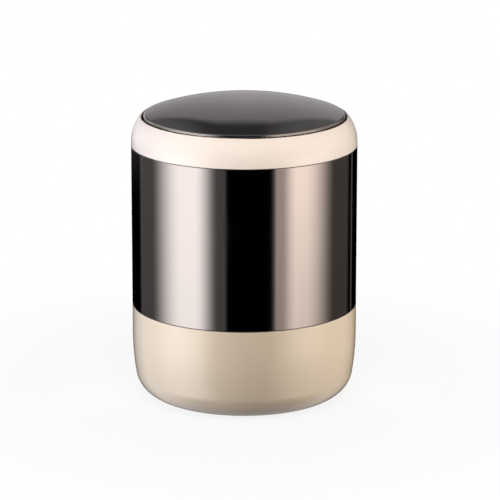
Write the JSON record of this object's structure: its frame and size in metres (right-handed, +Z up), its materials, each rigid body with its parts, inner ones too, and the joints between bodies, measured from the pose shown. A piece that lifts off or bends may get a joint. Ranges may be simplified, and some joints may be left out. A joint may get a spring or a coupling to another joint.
{
  "type": "swing-lid trash can",
  "caption": "Small round bin with a rounded base, a polished dark metal band, a shoulder collar and a weighted domed swing lid over a lift-out pail.",
  "frame": {"origin": "centre of the circle on which the bin stands, at floor level", "axes": "+Z up along the bin's axis, +X along the lid's pivot axis to the right, +Y to the back"},
  "size_m": [0.2, 0.2, 0.2706],
  "materials": {
    "beige_gloss": "gloss",
    "dark_polished_steel": "polished",
    "beige_satin": "satin",
    "grey_pail": "satin",
    "black_tray": "satin",
    "black_rubber": "matte",
    "plain_steel": "satin",
    "white_acetal": "satin"
  },
  "bodies": {
    "casing": {"base_shell": "beige_gloss", "foot_ring": "black_rubber", "metal_band": "dark_polished_steel", "rim_ring": "beige_satin"},
    "collar": {"shoulder_collar": "beige_gloss", "pivot_bush_left": "white_acetal", "pivot_bush_right": "white_acetal", "stop_buffer_left": "black_rubber", "stop_buffer_right": "black_rubber"},
    "lid": {"lid_dome": "dark_polished_steel", "lid_tray": "black_tray", "counterweight": "plain_steel", "counterweight_screws": "plain_steel", "pivot_pin_left": "plain_steel", "pivot_pin_right": "plain_steel", "pin_clip_left": "plain_steel", "pin_clip_right": "plain_steel"},
    "pail": {"inner_pail": "grey_pail"},
    "bail": {"bail_wire": "plain_steel", "bail_grip": "black_tray"}
  },
  "joints": [
    {"name": "collar_lift", "type": "slide", "parent": "casing", "child": "collar", "axis": [0, 0, 1], "range_m": [0, 0.38]},
    {"name": "lid_swing", "type": "hinge", "parent": "collar", "child": "lid", "pos_m": [0, 0, 0.24112], "axis": [1, 0, 0], "range_deg": [-70, 70]},
    {"name": "pail_lift", "type": "slide", "parent": "casing", "child": "pail", "axis": [0, 0, 1], "range_m": [0, 0.228]},
    {"name": "bail_swing", "type": "hinge", "parent": "pail", "child": "bail", "pos_m": [0, 0, 0.20632], "axis": [1, 0, 0], "range_deg": [0, 90]}
  ],
  "couplings": [
    {"joint": "pail_lift", "follows": "collar_lift", "ratio": 0.6},
    {"joint": "bail_swing", "follows": "collar_lift", "rad_per_m": 4.1336}
  ]
}
